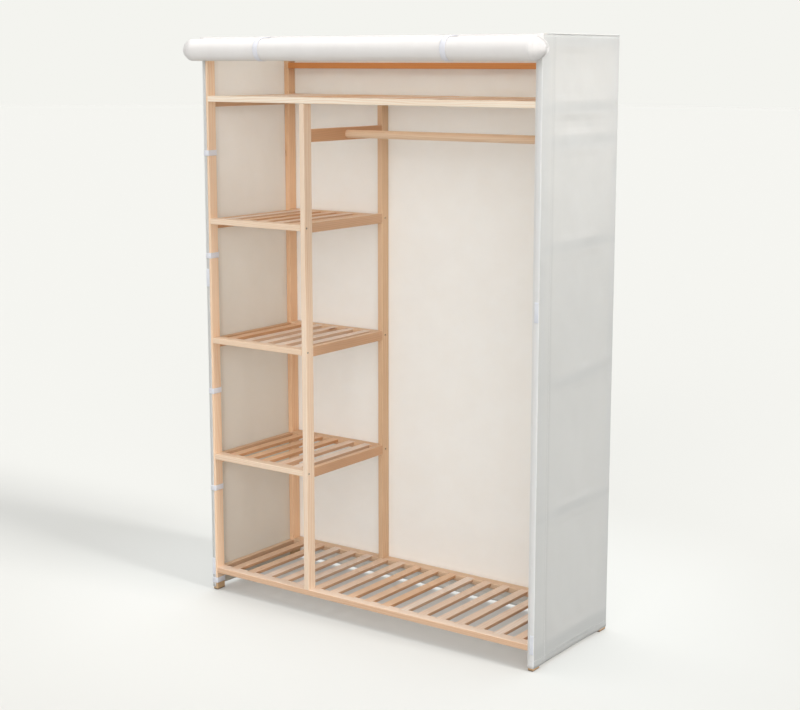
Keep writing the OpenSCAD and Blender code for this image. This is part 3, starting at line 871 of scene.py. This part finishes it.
# The rolled curtain, with the same winding as the frame's source
ROLL_R = 0.0335
ROLL_CORE = 0.004
ROLL_OVER = 0.035
ROLL_DROP = 0.038
ROOF_TOP = FRAME_H + CLOTH_GAP + CLOTH_T
LEAF_Y = -FRAME_D / 2 - 3 * CLOTH_GAP - CLOTH_T - TAPE_T
LEAF_TOP = ROOF_TOP - CLOTH_GAP
SEAM_ALLOWANCE = TAPE_T + CLOTH_GAP + CLOTH_T / 2
TIE_TOP = LEAF_TOP - CLOTH_T - 2 * CLOTH_GAP - TAPE_T
ROLL_Y = LEAF_Y - ROLL_R
ROLL_Z = ROOF_TOP - ROLL_DROP
ROLL_HALF = FRAME_W / 2 + ROLL_OVER
ROLL_DOME = 0.030
CURTAIN_DROP = FRAME_H - HEM_Z
ROLL_TURNS = (ROLL_R - ROLL_CORE) * CURTAIN_DROP / (math.pi * (ROLL_R ** 2 - ROLL_CORE ** 2))
STEPS_PER_TURN = 32
TIE_X = 0.33


def roll_share(a, x):
    """The roll's radius at an angle and a place along it, as a share of the even winding's."""
    front = (1 - math.cos(a)) / 2
    swell = noise.noise((math.cos(a) * 0.9, math.sin(a) * 0.9, x * 4)) * 0.035
    swell += noise.noise((math.cos(a) * 2, math.sin(a) * 2, x * 17)) * 0.010 - 0.014
    tied = band(abs(x), TIE_X, 0.008, 0.05)
    near = band(abs(x), TIE_X, 0.010, 0.035) - band(abs(x), TIE_X, 0.006, 0.008)
    pucker = 0.010 * near * math.sin(11 * a + 2 * math.sin(3 * a))
    return 1 + front * (swell * (1 - tied) - 0.045 * tied + pucker)


def make_roll(material):
    """The front curtain: its spiral winding, and the leaf that runs up to the seam on the roof's edge."""
    steps = round(ROLL_TURNS * STEPS_PER_TURN)
    winding = [i / steps for i in range(steps + 1)]
    rise = LEAF_TOP - CLOTH_T / 2 - ROLL_Z
    leaf = spread(0.0, rise, 0.004)[1:] + [rise + SEAM_ALLOWANCE]
    length = CURTAIN_DROP - leaf[-1]
    columns = [t * length for t in winding] + [length + d for d in leaf]

    def place(s, x):
        t = min(1.0, s / length)
        r = ROLL_CORE + (ROLL_R - ROLL_CORE) * t
        end = smooth_step(ROLL_HALF - 0.20, ROLL_HALF, abs(x))
        x_in = ROLL_DOME * (r / ROLL_R) ** 2.5 + noise.noise((t * 17, math.copysign(3, x), 0)) * 0.003
        x_at = x - math.copysign(x_in * end, x)
        if s > length:
            up = min(rise, s - length)
            return (x_at, LEAF_Y - CLOTH_T / 2 + s - length - up, ROLL_Z + up)
        a = -2 * math.pi * ROLL_TURNS * (1 - t)
        r = (r - CLOTH_T / 2) * roll_share(a, x)
        return (x_at, ROLL_Y + r * math.cos(a), ROLL_Z + r * math.sin(a))

    piece = grid_piece("rolled_curtain", columns, spread(-ROLL_HALF, ROLL_HALF, 0.02), place)
    thicken(piece, CLOTH_T)
    piece.data.materials.append(material)
    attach(piece, "curtain")
    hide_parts("curtain_roll")


def make_piping(material):
    """The corded seam between the roof and the walls, round the two sides and the back."""
    radius, bend = 0.0017, 0.006
    front, back = -WALL_Y + 0.012, WALL_Y
    stops = [(-SIDE_X, front), (-SIDE_X, back), (SIDE_X, back), (SIDE_X, front)]
    line, lengths = rounded_line(stops, bend, 0.02)
    place_in_line = {length: k for k, length in enumerate(lengths)}
    ring = spread(0.0, 2 * math.pi, math.pi / 5)

    def place(s, turn):
        k = place_in_line[s]
        along = (line[min(k + 1, len(line) - 1)] - line[max(k - 1, 0)]).normalized()
        end = min(s, lengths[-1] - s)
        r = radius * math.sqrt(min(1.0, 0.05 + end / 0.004))
        out = Vector((-along.y, along.x)) * math.cos(turn) * r
        z = ROOF_Z + 0.0004 + math.sin(turn) * r + 0.0002 * noise.noise((s * 40, 1.0, 2.0))
        return (line[k].x + out.x, line[k].y + out.y, z)

    piece = grid_piece("roof_piping", lengths, ring, place)
    bm = bmesh.new()
    bm.from_mesh(piece.data)
    bmesh.ops.remove_doubles(bm, verts=bm.verts, dist=1e-6)
    ends = [edge for edge in bm.edges if edge.is_boundary]
    bmesh.ops.holes_fill(bm, edges=ends, sides=0)
    bmesh.ops.recalc_face_normals(bm, faces=bm.faces)
    bm.to_mesh(piece.data)
    bm.free()
    piece.data.materials.append(material)
    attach(piece, "wardrobe")


# Tapes, ties and patches

TAPE_W = 0.017
PATCH_H = 0.056
# The lowest tie is below the bottom cross rail, and the others are at shares of the frame's height
TIE_SHARES = (0.1939, 0.3741, 0.6196, 0.8009)
TIE_Z = [CROSS_Z[0] - CROSS_H / 2 - CLOTH_GAP - TAPE_W / 2] + [share * FRAME_H for share in TIE_SHARES]
# One patch is above the lowest tie, and the other at a share of the height
PATCH_RISE = 0.009
PATCH_SHARE = 0.5801
PATCH_Z = [TIE_Z[0] + TAPE_W / 2 + PATCH_RISE + PATCH_H / 2, PATCH_SHARE * FRAME_H]
# The middle of a tape's thickness on the front of the facings
TAPE_Y = -WALL_Y - CLOTH_T / 2 - TAPE_T / 2
# The turn of a roll tie round the roll, in degrees, and the number of its points
TIE_ARC = -267.5
TIE_POINTS = 48


def ribbon(name, points, width, across, round_off, material):
    """A flat tape along a line of points, with rounded corners; across is its width's direction."""
    line, lengths = rounded_line(points, round_off)
    across = Vector(across)

    def place(s, v):
        for k in range(len(lengths) - 1):
            if s <= lengths[k + 1] + 1e-9:
                break
        t = (s - lengths[k]) / max(1e-9, lengths[k + 1] - lengths[k])
        return line[k].lerp(line[k + 1], t) + across * v

    piece = grid_piece(name, sorted(set(lengths)), spread(-width / 2, width / 2, width / 6), place)
    piece.data.materials.append(material)
    return piece


def make_post_ties(material):
    """Tapes that tie the cover round the left front post."""
    cloth_x = -SIDE_X + CLOTH_T / 2
    inner_x = -INNER_X + CLOTH_GAP + TAPE_T / 2
    back_y = -INNER_Y + CLOTH_GAP + TAPE_T / 2
    for k, z in enumerate(TIE_Z):
        points = [(cloth_x, TAPE_Y, z), (inner_x, TAPE_Y, z), (inner_x, back_y, z), (cloth_x, back_y, z)]
        piece = ribbon(f"post_tie_{k}", points, TAPE_W, (0, 0, 1), 0.0022, material)
        thicken(piece, TAPE_T)
        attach(piece, "wardrobe")
        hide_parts("post_ties")


def make_roll_ties(material):
    """Tapes from the back of the leaf round the roll and up to the front of the leaf."""
    distance = CLOTH_GAP + TAPE_T / 2
    for side, side_name in ((-1, "left"), (1, "right")):
        x = side * TIE_X
        points = [(x, LEAF_Y + distance, TIE_TOP + distance)]
        for i in range(TIE_POINTS):
            a = math.radians(TIE_ARC * i / (TIE_POINTS - 1))
            r = ROLL_R * roll_share(a, x) + distance
            points.append((x, ROLL_Y + r * math.cos(a), ROLL_Z + r * math.sin(a)))
        points.append((x, LEAF_Y - CLOTH_T - CLOTH_GAP, TIE_TOP + distance))
        piece = ribbon(f"roll_tie_{side_name}", points, TAPE_W, (1, 0, 0), 0.0004, material)
        thicken(piece, TAPE_T)
        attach(piece, "curtain")
        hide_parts("roll_ties")


def make_patches(material):
    """Hook and loop patches on both facings, which hold the front curtain when it is closed."""
    columns = spread(-FACING_W / 2, FACING_W / 2, 0.002)
    rows = spread(-PATCH_H / 2, PATCH_H / 2, 0.003)
    for side, side_name in ((-1, "left"), (1, "right")):
        x = side * (FRAME_W / 2 + CLOTH_GAP - FACING_W / 2)
        for k, z in enumerate(PATCH_Z):
            piece = grid_piece(f"closure_patch_{side_name}_{k}", columns, rows,
                               lambda u, v: (x + u, TAPE_Y, z + v))
            thicken(piece, TAPE_T)
            piece.data.materials.append(material)
            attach(piece, "wardrobe")
            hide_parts("closure_patches")


# The frame's nodes

# Cells that part the laths of each direction, and their shifts
POST_CELLS = ((2.0, 3.0, 0.0), (0.5, 0.5, 0.0))
RAIL_CELLS = ((0.0, 3.0, 6.0), (0.0, 0.5, 0.2))
CROSS_CELLS = ((2.0, 0.0, 4.0), (0.5, 0.0, 0.15))
ROD_RAIL_CELLS = ((2.0, 0.0, 4.0), (0.5, 0.0, 0.35))


def slat_cells(clear):
    """Cells that part the slats of a shelf whose clear width starts at the left end frame."""
    count = math.ceil((clear - SLAT_GAP) / (SLAT_W + SLAT_GAP))
    gap = (clear - count * SLAT_W) / (count + 1)
    pitch = gap + SLAT_W
    first = -INNER_X + gap + SLAT_W / 2
    return (1 / pitch, 0.0, 6.0), (0.5 - first / pitch, 0.0, 0.2)


def lath_finish(name):
    """The grain's axis, the tone and the cells of a wooden node, or None."""
    if name.startswith("post_") and name != "post_ties":
        # Painted light and shade in the posts' tones: peach and pale for the lit front posts, tan for the
        # shaded middle back post
        tones = {"post_front_left": "peach", "post_front_middle": "pale", "post_back_middle": "tan"}
        return "z", tones.get(name, "amber"), POST_CELLS
    if name.startswith("rod_rail"):
        return "y", "honey", ROD_RAIL_CELLS
    if name == "hanging_rod":
        return "x", "honey", RAIL_CELLS
    if "_rail_" in name:
        # Painted light and shade in the rails' tones: cream and pale for the lit front rails, blush for the
        # darker bottom front rail, the darkest tone for the shaded back brace, and honey for the rails in
        # shade
        tones = {"brace_rail_back": "deep shade", "bottom_rail_front": "blush", "top_rail_front": "cream"}
        return "x", tones.get(name, "pale" if "front" in name else "honey"), RAIL_CELLS
    if name.endswith("_slats"):
        full = name.startswith(("bottom", "top"))
        return "y", "rose", slat_cells(2 * INNER_X if full else COLUMN_W)
    if "cross" in name or name == "frame_dowels":
        return "y", "honey", CROSS_CELLS
    return None


def dress(node, material):
    """Gives a node of the frame one material."""
    node.data.materials.clear()
    node.data.materials.append(material)


def dress_wood():
    """Gives each lath pine whose grain runs along it."""
    pines = {}
    for name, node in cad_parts.items():
        finish = lath_finish(name)
        if finish is None:
            continue
        if finish not in pines:
            axis, tone, (cells, shift) = finish
            pines[finish] = make_pine(tone, axis, cells, shift)
        dress(node, pines[finish])


place_camera()
light_world(low=0.46, high=1.36, brightest=(-0.72, 0.42, 0.55))
add_sun("key light", towards=(0.42, -0.80, 0.20), strength=1.42, breadth=56, color=(1.0, 0.985, 0.965))
add_sun("side light", towards=(0.76, 0.0, 0.65), strength=1.70, breadth=14, color=(1.0, 0.99, 0.97))
lay_floor()

grain = build_wood_grain()
lath_number = build_lath_number()
weave = build_weave()
stitches = build_stitches()
dress_wood()
dress(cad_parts["frame_screws"], make_steel())

# Lines of stitches, each across an axis of the flat pattern
wall_seams = [("X", STOPS[1] + SEAM_IN - 0.003), ("X", STOPS[4] - SEAM_IN + 0.003), ("X", 0.004),
              ("X", STOPS[5] - 0.004), ("Y", HEM_STITCH_Z), ("Y", ROOF_Z - 0.007)]
roof_seams = [("X", SIDE_X - 0.006), ("X", 0.006 - SIDE_X), ("Y", WALL_Y - 0.006), ("Y", 0.006 - WALL_Y)]
curtain_seams = [("Y", ROLL_HALF - 0.012), ("Y", 0.012 - ROLL_HALF)]

# The colors of the painted shade that the cloth goes to where wood or a seam lies behind it, and towards
# the bottom, where the floor's shade falls
WALL_SHADE = (0.435, 0.442, 0.437, 1)
INSIDE_SHADE = (0.63, 0.60, 0.55, 1)

cover = make_cloth("cover cloth", (0.685, 0.685, 0.67, 1), (0.655, 0.655, 0.64, 1), WALL_SHADE,
                   sheer=0.75, seams=wall_seams)
# Painted light: the insides of the walls and the roof are brighter, warmer copies of their cloth, for the
# light that bounces and comes through inside
painted_light_inside = make_cloth("cover cloth inside, painted light", (0.95, 0.92, 0.88, 1), (0.93, 0.895, 0.85, 1), INSIDE_SHADE,
                    sheer=0.75, seams=wall_seams)
roof_cloth = make_cloth("roof cloth", (0.94, 0.94, 0.93, 1), (0.91, 0.91, 0.90, 1), WALL_SHADE,
                        seams=roof_seams, through=0.62)
roof_painted_light_inside = make_cloth("roof cloth inside, painted light", (0.96, 0.93, 0.89, 1), (0.94, 0.905, 0.86, 1), INSIDE_SHADE,
                         through=0.88)
curtain = make_cloth("curtain cloth", (0.88, 0.86, 0.85, 1), (0.85, 0.825, 0.815, 1),
                     sheer=0.15, seams=curtain_seams)
tape = make_cloth("white tape", (0.86, 0.87, 0.93, 1), (0.80, 0.81, 0.88, 1), threads=1400.0, relief=0.5)
loop_tape = make_cloth("hook and loop tape", (0.88, 0.90, 0.95, 1), (0.78, 0.80, 0.87, 1),
                       threads=2600.0, relief=0.9)

make_wrap(cover, painted_light_inside)
make_roof(roof_cloth, roof_painted_light_inside)
make_roll(curtain)
make_post_ties(tape)
make_roll_ties(tape)
make_patches(loop_tape)
make_piping(cover)
